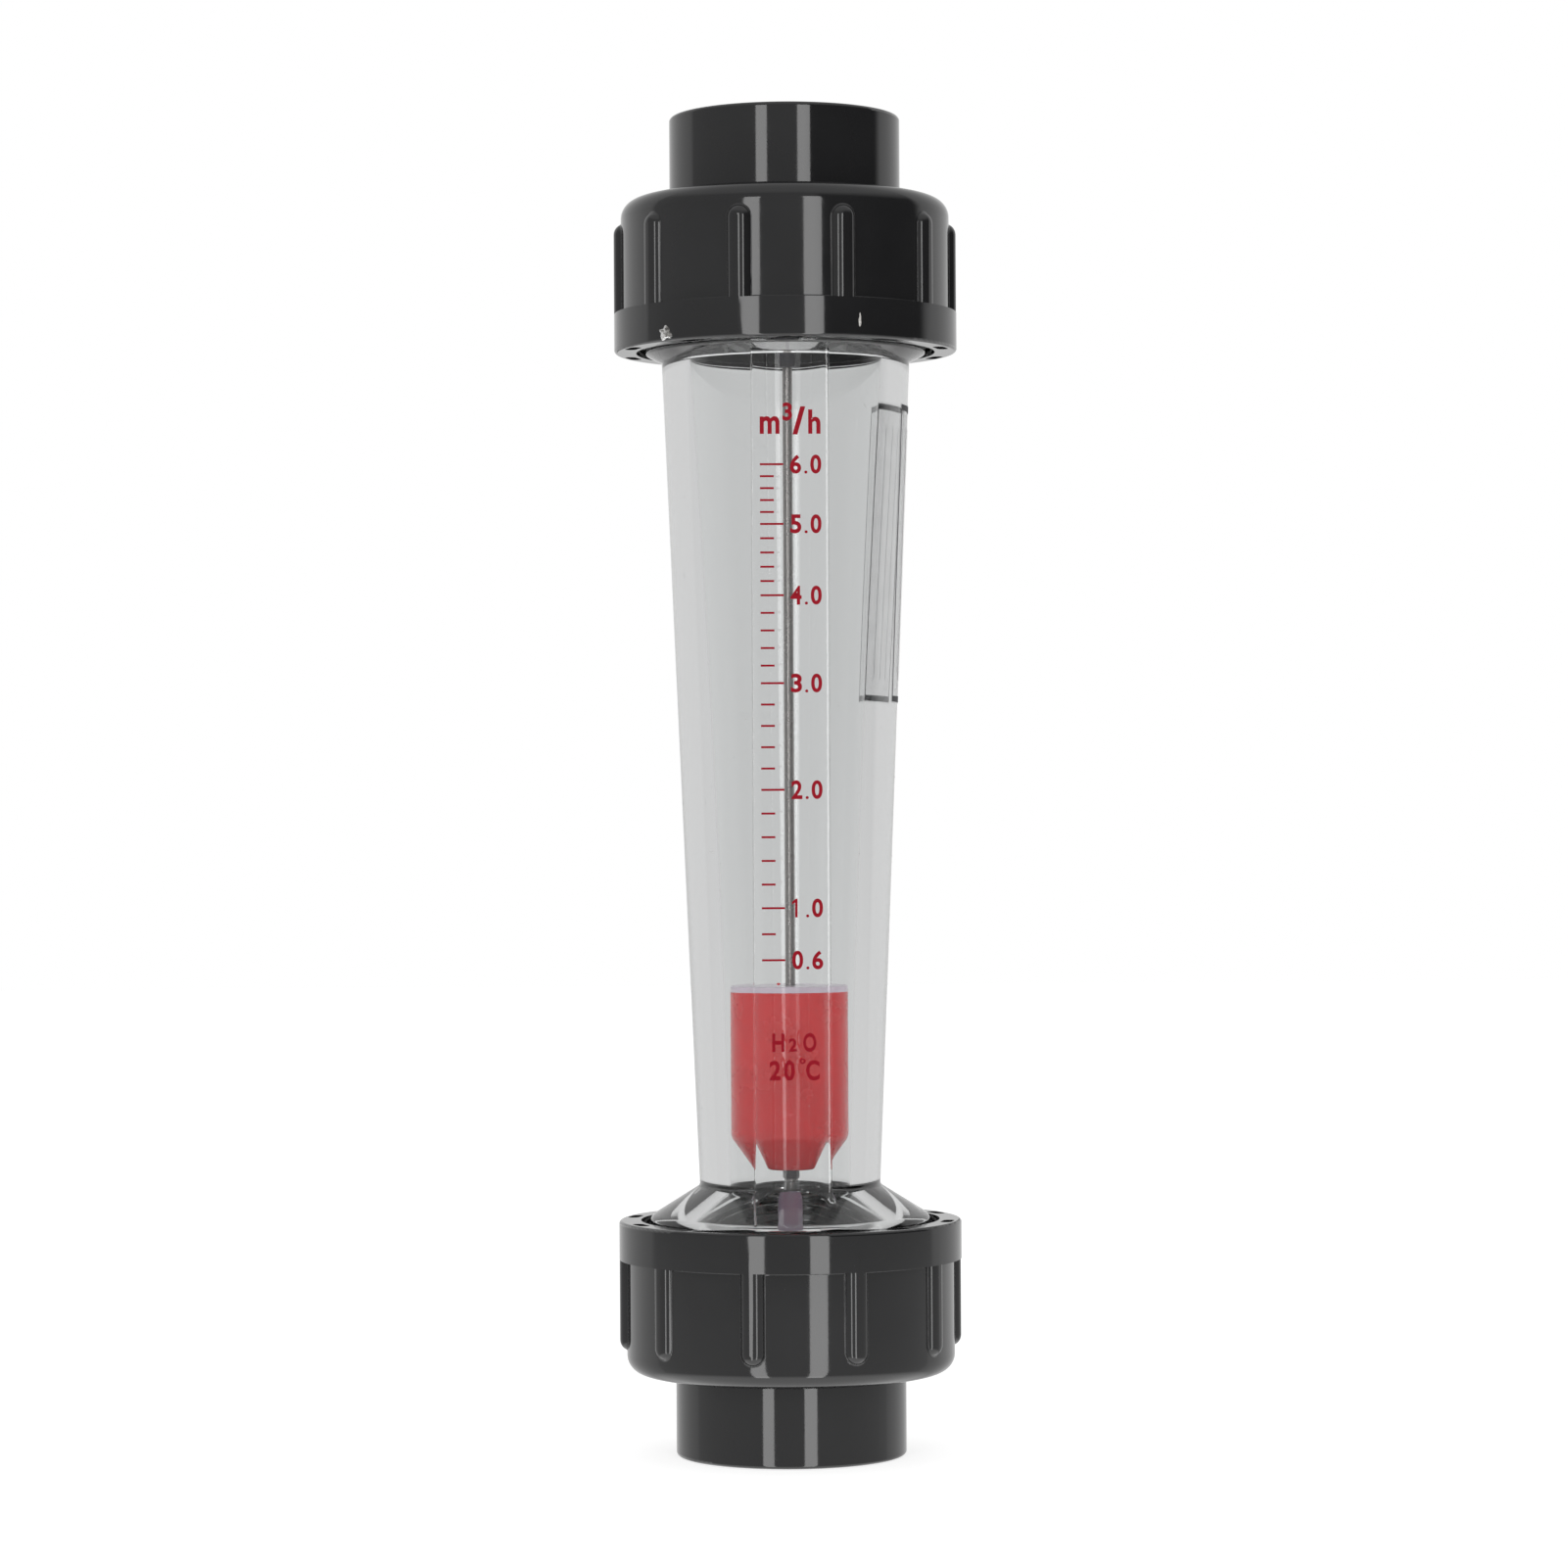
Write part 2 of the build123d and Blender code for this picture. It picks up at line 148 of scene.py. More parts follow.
view = {
    "distance": 1495 * mm,
    "height": 209.2 * mm,
    "turned": -2.0,
    "roll": 0.33,
    "sensor": 36,
    "lens": 105.33,
    "shiftX": -0.0026,
    "shiftY": 0.0175,
}


def makeCamera():
    camera = bpy.data.objects.new("camera", bpy.data.cameras.new("camera"))
    scene.collection.objects.link(camera)
    camera.data.sensor_width = view["sensor"]
    camera.data.lens = view["lens"]
    camera.data.shift_x = view["shiftX"]
    camera.data.shift_y = view["shiftY"]
    turned = math.radians(view["turned"])
    camera.location = (
        math.sin(turned) * view["distance"],
        -math.cos(turned) * view["distance"],
        view["height"],
    )
    aim = Matrix.Rotation(turned, 4, "Z") @ Matrix.Rotation(math.radians(90), 4, "X")
    roll = Matrix.Rotation(-math.radians(view["roll"]), 4, "Z")
    camera.rotation_euler = (aim @ roll).to_euler()
    scene.camera = camera


makeCamera()
print("camera placed")

# pale floor, white surround, two tall strip lights in front

studio = {
    "floorSize": 8.0,
    "floorDrop": 0.1,
    "floorPaint": "#c8c8c8",
    "floorGlow": 0.75,
    "ambient": 0.6,
    "ambientInTube": 1.3,
    # levels that a gloss sees, and those that the clear plastic sees through itself
    "rightDark": 0.05,
    "frontFill": 0.45,
    "behindGloss": 0.8,
    "belowGloss": 0.66,
    "tableGloss": 1.7,
    "ceilingGloss": 0.75,
    "throughClear": 0.63,
    "throughFront": 0.36,
    "throughRight": 0.22,
    "throughTable": 1.0,
    "throughCeiling": 0.26,
    # the share of a direction along its axis at which a level starts and is full
    "behindEase": (0.15, 0.35),
    "leftEase": (0.42, 0.28),
    "belowEase": (-0.02, -0.12),
    "tableEase": (-0.3, -0.75),
    "ceilingEase": (0.3, 0.8),
    "throughBehindEase": (-0.3, 0.3),
    "throughCeilingEase": (0.35, 0.6),
    # bearing, width and level of each strip as the clear plastic mirrors it, in degrees
    "throughStrips": ((-19.0, 9.5, 2.8), (20.5, 10.0, 1.3)),
    "bandBlur": 0.5,
    # bearing of the middle and width of each strip, in degrees
    "strips": ((-22.5, 11.0), (19.0, 12.5)),
    "stripDistance": 1.6,
    "stripHeight": 2.3,
    "stripMiddle": -0.2,
    "stripRadiance": 4.0,
}


def makeWorld():
    world = bpy.data.worlds.new("studioSurround")
    scene.world = world
    world.use_nodes = True
    tree = world.node_tree
    tree.nodes.clear()
    rays = addNode(tree, "ShaderNodeLightPath")
    direction = addNode(tree, "ShaderNodeTexCoord")
    parts = addNode(tree, "ShaderNodeSeparateXYZ", links={0: direction.outputs["Generated"]})

    def eased(source, start, end, low, high):
        return addNode(tree, "ShaderNodeMapRange", {"interpolation_type": "SMOOTHSTEP"},
                       {"From Min": start, "From Max": end, "To Min": low, "To Max": high},
                       {"Value": source}).outputs[0]

    def ramp(axis, ease, low, high):
        return eased(parts.outputs[axis], *studio[ease], low, high)

    def level(value):
        constant = addNode(tree, "ShaderNodeValue")
        constant.outputs[0].default_value = value
        return constant.outputs[0]

    def brightest(*levels):
        best = levels[0]
        for other in levels[1:]:
            best = maths(tree, "MAXIMUM", best, other)
        return best

    def choose(ray, otherwise, chosen):
        return addNode(tree, "ShaderNodeMix", {"data_type": "FLOAT", "clamp_factor": True},
                       links={"Factor": rays.outputs[ray], "A": otherwise, "B": chosen}).outputs[0]

    def band(turn, middle, width, high):
        off = maths(tree, "SUBTRACT", turn, math.radians(middle + view["turned"]))
        edges = [math.radians(width / 2 + side * studio["bandBlur"]) for side in (1, -1)]
        return eased(maths(tree, "ABSOLUTE", off), *edges, 0.0, high)

    # a gloss sees a weak fill in front and on the left, a dark room on the right, the
    # backdrop behind, the lit table below and a dim ceiling
    dark = studio["rightDark"]
    gloss = brightest(
        ramp("Y", "behindEase", dark, studio["behindGloss"]),
        ramp("X", "leftEase", dark, studio["frontFill"]),
        ramp("Z", "belowEase", 0.0, studio["belowGloss"]),
        ramp("Z", "tableEase", 0.0, studio["tableGloss"]),
        ramp("Z", "ceilingEase", 0.0, studio["ceilingGloss"]))
    # the clear plastic sees the backdrop through itself, but not overhead, and the strips
    # as faint bands
    forward = maths(tree, "MULTIPLY", parts.outputs["Y"], -1.0)
    turn = maths(tree, "ARCTAN2", parts.outputs["X"], forward)
    backdrop = maths(tree, "MINIMUM",
                     ramp("Y", "throughBehindEase", dark, studio["throughClear"]),
                     ramp("Z", "throughCeilingEase", 1.0, studio["throughCeiling"]))
    clear = brightest(
        backdrop,
        ramp("X", "leftEase", studio["throughRight"], studio["throughFront"]),
        ramp("Z", "tableEase", 0.0, studio["throughTable"]),
        *[band(turn, *strip) for strip in studio["throughStrips"]])
    ambient = level(studio["ambient"])
    seen = choose("Is Glossy Ray", ambient, gloss)
    seen = choose("Is Transmission Ray", seen, clear)
    # light that has met a matt surface inside the tube comes from all round
    inTube = choose("Is Transmission Ray", ambient, level(studio["ambientInTube"]))
    seen = choose("Diffuse Depth", seen, inTube)
    seen = choose("Is Camera Ray", seen, level(1.0))
    background = addNode(tree, "ShaderNodeBackground", values={"Color": (1, 1, 1, 1)},
                         links={"Strength": seen})
    addNode(tree, "ShaderNodeOutputWorld", links={"Surface": background.outputs[0]})


def makeFloor():
    half = studio["floorSize"] / 2
    # white to the camera but for the object's shadow; a gloss or the clear plastic looks
    # past it into the surround
    material, tree = newMaterial("paleStudioFloor")
    rays = addNode(tree, "ShaderNodeLightPath")
    past = maths(tree, "MAXIMUM", rays.outputs["Is Glossy Ray"], rays.outputs["Is Transmission Ray"])
    glow = maths(tree, "MULTIPLY", rays.outputs["Is Camera Ray"], studio["floorGlow"])
    white = addNode(tree, "ShaderNodeEmission", values={"Color": (1, 1, 1, 1)}, links={"Strength": glow})
    paint = addNode(tree, "ShaderNodeBsdfDiffuse", values={"Color": linear(studio["floorPaint"])})
    both = addNode(tree, "ShaderNodeAddShader", links={0: white.outputs[0], 1: paint.outputs[0]})
    clear = addNode(tree, "ShaderNodeBsdfTransparent")
    shown = addNode(tree, "ShaderNodeMixShader", links={0: past, 1: both.outputs[0], 2: clear.outputs[0]})
    addNode(tree, "ShaderNodeOutputMaterial", links={"Surface": shown.outputs[0]})
    floor = meshPiece("floor",
                      [(-half, -half, 0), (half, -half, 0), (half, half, 0), (-half, half, 0)],
                      [(0, 1, 2, 3)], material)
    floor.data.transform(Matrix.Translation((0, 0, -studio["floorDrop"] * mm)))


def makeStrips():
    for index, (bearing, width) in enumerate(studio["strips"]):
        far = studio["stripDistance"]
        lamp = bpy.data.lights.new(f"strip{index}", "AREA")
        lamp.shape = "RECTANGLE"
        lamp.size = 2 * far * math.tan(math.radians(width / 2))
        lamp.size_y = studio["stripHeight"]
        lamp.energy = studio["stripRadiance"] * math.pi * lamp.size * lamp.size_y
        angle = math.radians(bearing + view["turned"])
        strip = bpy.data.objects.new(lamp.name, lamp)
        scene.collection.objects.link(strip)
        strip.location = (math.sin(angle) * far, -math.cos(angle) * far, studio["stripMiddle"])
        strip.visible_transmission = False
        turn = Matrix.Rotation(angle, 4, "Z") @ Matrix.Rotation(math.radians(90), 4, "X")
        strip.rotation_euler = turn.to_euler()


makeWorld()
makeFloor()
makeStrips()
print("studio built")


# looks, with the sizes of their patterns and the depths of their bumps in millimetres


def objectPoint(tree, scale=(1, 1, 1)):
    place = addNode(tree, "ShaderNodeTexCoord")
    return addNode(tree, "ShaderNodeMapping", values={"Scale": scale},
                   links={"Vector": place.outputs["Object"]}).outputs[0]


def cloud(tree, place, size, detail):
    # noise whose lumps are about this many millimetres wide
    return addNode(tree, "ShaderNodeTexNoise", values={"Scale": 1 / (size * mm), "Detail": detail},
                   links={"Vector": place}).outputs["Fac"]


def toned(tree, pattern, dark, light, low=0.0, high=1.0):
    ramp = addNode(tree, "ShaderNodeValToRGB", links={"Fac": pattern})
    for step, place, colour in zip(ramp.color_ramp.elements, (low, high), (dark, light)):
        step.position = place
        step.color = linear(colour)
    return ramp.outputs["Color"]


def ranged(tree, pattern, low, high):
    # the noise's usual reach, 0.3 to 0.7, stretched over the wanted values
    return addNode(tree, "ShaderNodeMapRange",
                   values={"From Min": 0.3, "From Max": 0.7, "To Min": low, "To Max": high},
                   links={"Value": pattern}).outputs[0]


def bumped(tree, pattern, depth, under=None):
    links = {"Height": pattern, "Normal": under} if under else {"Height": pattern}
    return addNode(tree, "ShaderNodeBump", values={"Strength": 1.0, "Distance": depth * mm},
                   links=links).outputs[0]


def principled(tree, values, links):
    skin = addNode(tree, "ShaderNodeBsdfPrincipled", values=values, links=links)
    addNode(tree, "ShaderNodeOutputMaterial", links={"Surface": skin.outputs[0]})


moulding = {"driftSize": 28, "rubSize": 9, "hairSize": 0.5}


def mouldedPlastic(name, finish):
    # injection-moulded plastic: the tone drifts a little over centimetres, the skin has a
    # shallow orange peel from the mould, and handling leaves hair scratches that show
    # only where a light reflects
    material, tree = newMaterial(name)
    here = objectPoint(tree)
    streak = objectPoint(tree, (1, 1, finish["drawn"]))
    drift = cloud(tree, here, moulding["driftSize"], 3.0)
    rub = cloud(tree, here, moulding["rubSize"], 5.0)
    peel = cloud(tree, here, finish["peel"], 2.0)
    hair = cloud(tree, streak, moulding["hairSize"], 2.0)
    principled(tree, {"IOR": finish["ior"]}, {
        "Base Color": toned(tree, drift, finish["dark"], finish["light"], 0.3, 0.7),
        "Roughness": ranged(tree, rub, finish["smooth"], finish["rough"]),
        "Normal": bumped(tree, hair, finish["hairDepth"], bumped(tree, peel, finish["peelDepth"])),
    })
    return material


# uPVC: the dark grey of plumbing unions, glossy from a polished mould
greyPvc = mouldedPlastic("greyMouldedUpvc", {
    "dark": "#1f1f20", "light": "#252526", "smooth": 0.05, "rough": 0.08,
    "peel": 2.6, "peelDepth": 0.002, "drawn": 0.06, "hairDepth": 0.0003, "ior": 1.53,
})
# ABS shell of the float, pigmented red, satin
redAbs = mouldedPlastic("redMouldedAbs", {
    "dark": "#d2171b", "light": "#dd2226", "smooth": 0.2, "rough": 0.3,
    "peel": 2.0, "peelDepth": 0.006, "drawn": 0.1, "hairDepth": 0.001, "ior": 1.53,
})
# polyethylene cap of the float, milky white with a faint lilac cast, waxy gloss
milkyCap = mouldedPlastic("milkyMouldedPolyethylene", {
    "dark": "#cdc0ce", "light": "#d8ccd9", "smooth": 0.12, "rough": 0.2,
    "peel": 2.0, "peelDepth": 0.004, "drawn": 0.5, "hairDepth": 0.001, "ior": 1.51,
})
# acetal of the holders, milky grey and waxy
holderAcetal = mouldedPlastic("greyMouldedAcetal", {
    "dark": "#8b8c8a", "light": "#989997", "smooth": 0.35, "rough": 0.45,
    "peel": 1.6, "peelDepth": 0.008, "drawn": 0.3, "hairDepth": 0.001, "ior": 1.48,
})
# polypropylene sleeve, extruded, so its skin is drawn out along its length
mauveSleeve = mouldedPlastic("mauveExtrudedPolypropylene", {
    "dark": "#9a8a9d", "light": "#a99aac", "smooth": 0.35, "rough": 0.5,
    "peel": 1.2, "peelDepth": 0.006, "drawn": 0.05, "hairDepth": 0.003, "ior": 1.49,
})
# turned PTFE-filled bushes, dark and dull; the upper stop sleeve also wears this grey as painted shade
bushGreyAndSleeveShade = mouldedPlastic("greyTurnedBushPlastic", {
    "dark": "#3a383d", "light": "#46444a", "smooth": 0.4, "rough": 0.55,
    "peel": 0.8, "peelDepth": 0.006, "drawn": 12.0, "hairDepth": 0.003, "ior": 1.45,
})
# EPDM of the ring seals, black moulded rubber
sealRubber = mouldedPlastic("blackMouldedEpdm", {
    "dark": "#161616", "light": "#1e1e1e", "smooth": 0.5, "rough": 0.65,
    "peel": 0.9, "peelDepth": 0.015, "drawn": 1.0, "hairDepth": 0.002, "ior": 1.5,
})

steel = {
    "colour": "#b0acaa", "smooth": 0.2, "rough": 0.3, "toneSize": 6,
    "grindSize": 0.25, "grindStretch": 0.08, "grindDepth": 0.0001,
}


def groundStainless():
    # centreless-ground stainless steel: fine rings round the rod soften its reflections
    # along the length
    material, tree = newMaterial("groundStainlessSteel")
    rings = objectPoint(tree, (steel["grindStretch"], steel["grindStretch"], 1))
    tone = cloud(tree, objectPoint(tree), steel["toneSize"], 4.0)
    grind = cloud(tree, rings, steel["grindSize"], 3.0)
    principled(tree, {"Base Color": linear(steel["colour"]), "Metallic": 1.0}, {
        "Roughness": ranged(tree, tone, steel["smooth"], steel["rough"]),
        "Normal": bumped(tree, grind, steel["grindDepth"]),
    })
    return material


clearWall = {"tint": "#fafbfb", "ior": 1.56, "flowSize": 5, "flowStretch": 0.03, "flowDepth": 0.0006}


def clearPvcMaterial():
    # clear injection-moulded PVC, slightly grey in the mass. Faint flow lines run up the
    # wall and make the lights behind it waver
    material, tree = newMaterial("clearMouldedPvc")
    flow = cloud(tree, objectPoint(tree, (1, 1, clearWall["flowStretch"])), clearWall["flowSize"], 2.0)
    principled(tree, {"Base Color": linear(clearWall["tint"]), "Roughness": 0.0,
                      "IOR": clearWall["ior"], "Transmission Weight": 1.0},
               {"Normal": bumped(tree, flow, clearWall["flowDepth"])})
    return material


ink = {"mottleSize": 0.7, "relief": 0.004, "roughness": 0.5, "ior": 1.5, "sheen": 0.15}


def printInk(name, dark, light):
    # screen-printed ink, mottled where the film is thinner
    material, tree = newMaterial(name)
    mottle = cloud(tree, objectPoint(tree), ink["mottleSize"], 3.0)
    principled(tree, {"Roughness": ink["roughness"], "IOR": ink["ior"],
                      "Specular IOR Level": ink["sheen"]},
               {"Base Color": toned(tree, mottle, dark, light),
                "Normal": bumped(tree, mottle, ink["relief"])})
    return material


film = {"colour": "#d4d5d6", "roughness": 0.25, "ior": 1.46, "veilSize": 6, "clear": 0.10, "milky": 0.18}


def labelFilmMaterial():
    # clear adhesive film: almost unseen, with a slight milky veil where the glue wrinkles
    material, tree = newMaterial("clearAdhesiveFilm")
    veil = cloud(tree, objectPoint(tree), film["veilSize"], 4.0)
    principled(tree, {"Base Color": linear(film["colour"]), "Roughness": film["roughness"],
                      "IOR": film["ior"]},
               {"Alpha": ranged(tree, veil, film["clear"], film["milky"])})
    return material


cement = {"lumpSize": 0.9, "relief": 0.08, "roughness": 0.12, "ior": 1.47}


def solventCement(name, dark, light, clear):
    # hardened solvent cement, a drip left on the moulding: glossy, lumpy, part clear
    material, tree = newMaterial(name)
    lumps = cloud(tree, objectPoint(tree), cement["lumpSize"], 4.0)
    principled(tree, {"Roughness": cement["roughness"], "IOR": cement["ior"],
                      "Transmission Weight": clear},
               {"Base Color": toned(tree, lumps, dark, light, 0.4, 0.6),
                "Normal": bumped(tree, lumps, cement["relief"])})
    return material


grit = {"dark": "#5b5a59", "pale": "#dddbd7", "patchSize": 14, "roughness": 0.85, "ior": 1.45}


def dustMaterial():
    # dust grains and hairline scuffs, most of them grey and some pale
    material, tree = newMaterial("greyDust")
    patches = cloud(tree, objectPoint(tree), grit["patchSize"], 1.0)
    principled(tree, {"Roughness": grit["roughness"], "IOR": grit["ior"]},
               {"Base Color": toned(tree, patches, grit["dark"], grit["pale"], 0.5, 0.56)})
    return material


stainless = groundStainless()
clearPvc = clearPvcMaterial()
scaleInk = printInk("crimsonScreenInk", "#94061c", "#b00c26")
labelInk = printInk("greyLabelInk", "#333335", "#46464a")
labelFilm = labelFilmMaterial()
cementDrip = solventCement("clearSolventCement", "#6e6c69", "#c9c6c1", 0.55)
cementFleck = solventCement("whitenedSolventCement", "#b9b6b1", "#efece7", 0.1)
dust = dustMaterial()
print("materials mixed")

nodeMaterials = {
    "socket": greyPvc,
    "union_nut": greyPvc,
    "seal_ring": sealRubber,
    "rod_holder": holderAcetal,
    "rod_cone": holderAcetal,
    "stop_sleeve": mauveSleeve,
    # painted shade: the upper stop sleeve is the same mauve part as the lower one, but takes the dark
    # bush grey because it sits in shade inside the outlet nut
    "outlet_stop_sleeve": bushGreyAndSleeveShade,
    "rod_nut": stainless,
    "measuring_tube": clearPvc,
    "tube_label": labelFilm,
    "guide_rod": stainless,
    "float_body": redAbs,
    "float_cap": milkyCap,
    "float_weight": stainless,
    "float_lower_bush": bushGreyAndSleeveShade,
    "float_upper_bush": bushGreyAndSleeveShade,
}
for name, node in nodes.items():
    short = name.replace("inlet_", "").replace("outlet_", "")
    node.data.materials.clear()
    node.data.materials.append(nodeMaterials[name if name in nodeMaterials else short])

# clear measuring tube, in millimetres

tube = {
    "foot": 41.3, "top": 393.7,
    "inletNeck": 87.85, "outletNeck": 355.3,
    "inletNeckR": 29.4, "outletNeckR": 40.3,
    "threadR": 47.5, "rimR": 45.6, "rimBand": 4.5, "threadChamfer": 1.5,
    "inletSlope": 32.0, "outletSlope": 27.0, "inletRimRound": 3.0, "outletRimRound": 1.2,
    "inletNeckRound": 1.5, "outletNeckRound": 0.5,
    "seatR": 36.7, "seatDepth": 8.7, "chamberR": 34.0,
    "throatR": 19.6, "throatTop": 89.97, "funnelTop": 80.0, "funnelFoot": 66.0, "funnelRound": 4.0,
    "boreR": 31.2, "taperTop": 355.4, "flare": 1.2, "stepHeight": 0.4, "stepRound": 0.3,
    "panelWidth": 25.0, "panelLift": 0.3, "panelRound": 0.6, "panelBury": 3.0,
    "rollWidth": 1.7, "rollDepth": 0.22,
    # coarse round threads under the nuts
    "threads": ((42.8, 71.3), (365.0, 392.2)),
    "threadPitch": 4.0, "threadDepth": 1.2, "threadRunOut": 3.0,
    # how fine the rings are: on the threads, close below and above each neck, elsewhere
    "threadStep": 0.6, "neckStep": 0.14, "plainStep": 4.5, "taperRuns": 56,
    "neckReach": {"inlet": (2.2, 0.4), "outlet": (0.6, 1.8)},
    # degrees to a run on the outer, chamber's and funnel's rounded corners
    "outsideArc": 3.0, "chamberArc": 7.0, "funnelArc": 5.0,
    # runs on half a ring: buried under the panel, on its flat, edge and side, and behind
    "flatBuried": 5, "flat": 12, "edge": 6, "side": 3, "behind": 100,
    # shares of the flat between which the panel leaves the wall, and the side's least turn
    "crossingKept": (0.1, 0.97), "sideTurn": 0.004,
    # a turn of more degrees than this stays a hard edge
    "hardEdge": 22,
    # the part of the wall that gathers dust, from the inlet neck and to the outlet neck
    "dustFoot": 3, "dustHead": 8,
}


def wallLean():
    return (tube["outletNeckR"] - tube["inletNeckR"]) / (tube["outletNeck"] - tube["inletNeck"])


def outerR(height):
    return tube["inletNeckR"] + wallLean() * (height - tube["inletNeck"])


def panelFront(height):
    return outerR(height) + tube["panelLift"]


def roundCorners(corners, step):
    # corners are (radius, height, round); each rounded one becomes an arc of short runs
    path = []
    count = len(corners)
    for i, (r, z, fillet) in enumerate(corners):
        here = Vector((r, z))
        if not fillet:
            path.append(here)
            continue
        before = (Vector(corners[i - 1][:2]) - here).normalized()
        after = (Vector(corners[(i + 1) % count][:2]) - here).normalized()
        half = before.angle(after) / 2
        centre = here + (before + after).normalized() * (fillet / math.sin(half))
        start = here + before * (fillet / math.tan(half)) - centre
        sweep = start.angle_signed(here + after * (fillet / math.tan(half)) - centre)
        runs = max(4, round(abs(math.degrees(sweep)) / step))
        for k in range(runs + 1):
            turn = -sweep * k / runs
            path.append(centre + Vector((
                start.x * math.cos(turn) - start.y * math.sin(turn),
                start.x * math.sin(turn) + start.y * math.cos(turn),
            )))
    return path


def refine(path, limit):
    # adds points on long runs, closer together where limit(height) says so
    fine = []
    for a, b in zip(path, path[1:]):
        runs = max(1, math.ceil((b - a).length / limit((a.y + b.y) / 2)))
        fine += [a.lerp(b, k / runs) for k in range(runs)]
    return fine + [path[-1]]


def taperArc(count):
    # circle through the throat, the flared middle and the wide end
    low = Vector((tube["throatR"], tube["throatTop"]))
    high = Vector((tube["boreR"], tube["taperTop"]))
    middle = (low + high) / 2 - Vector((tube["flare"], 0))
    a, b = middle - low, high - low
    cross = 2 * (a.x * b.y - a.y * b.x)
    centre = low + Vector((
        (b.y * a.length_squared - a.y * b.length_squared) / cross,
        (a.x * b.length_squared - b.x * a.length_squared) / cross,
    ))
    start, end = high - centre, low - centre
    first, last = math.atan2(start.y, start.x), math.atan2(end.y, end.x)
    if abs(last - first) > math.pi:
        last += math.copysign(2 * math.pi, first - last)
    radius = start.length
    turns = [first + (last - first) * k / count for k in range(count + 1)]
    return [centre + radius * Vector((math.cos(t), math.sin(t))) for t in turns]


def panelReach(turn, front):
    # distance from the axis to the panel's outline at a bearing from its middle
    half, rounding = tube["panelWidth"] / 2, tube["panelRound"]
    cx, cf = half - rounding, front - rounding
    if math.tan(turn) * front <= cx:
        return front / math.cos(turn)
    if math.tan(turn) * cf >= half:
        return half / math.sin(turn)
    along = cx * math.sin(turn) + cf * math.cos(turn)
    return along + math.sqrt(max(0, along * along - cx * cx - cf * cf + rounding * rounding))


def edgeRoll(turn, reach):
    # the panel's right edge falls away a little before its rounding, and catches a light
    past = math.sin(turn) * reach - tube["panelWidth"] / 2 + tube["rollWidth"]
    return tube["rollDepth"] * max(0, min(1, past / tube["rollWidth"])) ** 2


def spaced(start, end, count):
    return [start + (end - start) * k / count for k in range(count)]


def halfBearings(radius, front):
    # bearings from the panel's middle round to the back, with points kept on each of
    # the panel's breaks so that its edges stay crisp
    half, rounding = tube["panelWidth"] / 2, tube["panelRound"]
    roundStart = math.atan((half - rounding) / front)
    roundEnd = math.atan(half / (front - rounding))
    least, most = tube["crossingKept"]
    crossing = math.acos(front / radius) if radius > front else 0
    crossing = min(max(crossing, least * roundStart), most * roundStart)
    sideFoot = max(math.asin(half / radius), roundEnd + tube["sideTurn"])
    runs = tube["flat"]
    flat = [roundStart - (roundStart - crossing) * (1 - k / runs) ** 2 for k in range(runs)]
    return (spaced(0, crossing, tube["flatBuried"]) + flat
            + spaced(roundStart, roundEnd, tube["edge"]) + spaced(roundEnd, sideFoot, tube["side"])
            + spaced(sideFoot, math.pi, tube["behind"]))


def slopeOf(end):
    return math.tan(math.radians(tube[end + "Slope"]))


def tubeOutline():
    foot, top, band = tube["foot"], tube["top"], tube["rimBand"]
    seat, depth, chamber = tube["seatR"], tube["seatDepth"], tube["chamberR"]
    wide, rim, chamfer = tube["threadR"], tube["rimR"], tube["threadChamfer"]
    inletRim = tube["inletNeck"] - (rim - tube["inletNeckR"]) * slopeOf("inlet")
    outletRim = tube["outletNeck"] + (rim - tube["outletNeckR"]) * slopeOf("outlet")
    relief = wide - rim
    outside = roundCorners([
        (seat, foot, 0),
        (wide - chamfer, foot, 0),
        (wide, foot + chamfer, 0),
        (wide, inletRim - band - relief, 0),
        (rim, inletRim - band, 0),
        (rim, inletRim, tube["inletRimRound"]),
        (tube["inletNeckR"], tube["inletNeck"], tube["inletNeckRound"]),
        (tube["outletNeckR"], tube["outletNeck"], tube["outletNeckRound"]),
        (rim, outletRim, tube["outletRimRound"]),
        (rim, outletRim + band, 0),
        (wide, outletRim + band + relief, 0),
        (wide, top - chamfer, 0),
        (wide - chamfer, top, 0),
        (seat, top, 0),
    ], tube["outsideArc"])

    def fineness(height):
        if any(low < height < high for low, high in tube["threads"]):
            return tube["threadStep"]
        for end, (below, above) in tube["neckReach"].items():
            if tube[end + "Neck"] - below < height < tube[end + "Neck"] + above:
                return tube["neckStep"]
        return tube["plainStep"]

    ends = (outside[0], outside[-1])
    outside = refine(outside[1:-1], fineness)
    inside = roundCorners([
        (seat, top - depth, 0),
        (chamber, top - depth, 0),
        (chamber, tube["taperTop"] + tube["stepHeight"], tube["stepRound"]),
        (tube["boreR"], tube["taperTop"], 0),
    ], tube["chamberArc"])[:-1] + taperArc(tube["taperRuns"]) + roundCorners([
        (tube["throatR"], tube["throatTop"], 0),
        (tube["throatR"], tube["funnelTop"], tube["funnelRound"]),
        (chamber, tube["funnelFoot"], tube["funnelRound"]),
        (chamber, foot + depth, 0),
        (seat, foot + depth, 0),
    ], tube["funnelArc"])[1:]
    return outside, [ends[1]] + inside + [ends[0]]


def threadCut(height, bearing):
    # how far the helical groove has sunk into the wall, running out at both ends
    for low, high in tube["threads"]:
        into = min(height - low, high - height) / tube["threadRunOut"]
        if into > 0:
            phase = 2 * math.pi * height / tube["threadPitch"] - bearing
            return tube["threadDepth"] * min(1, into) * (0.5 - 0.5 * math.cos(phase))
    return 0


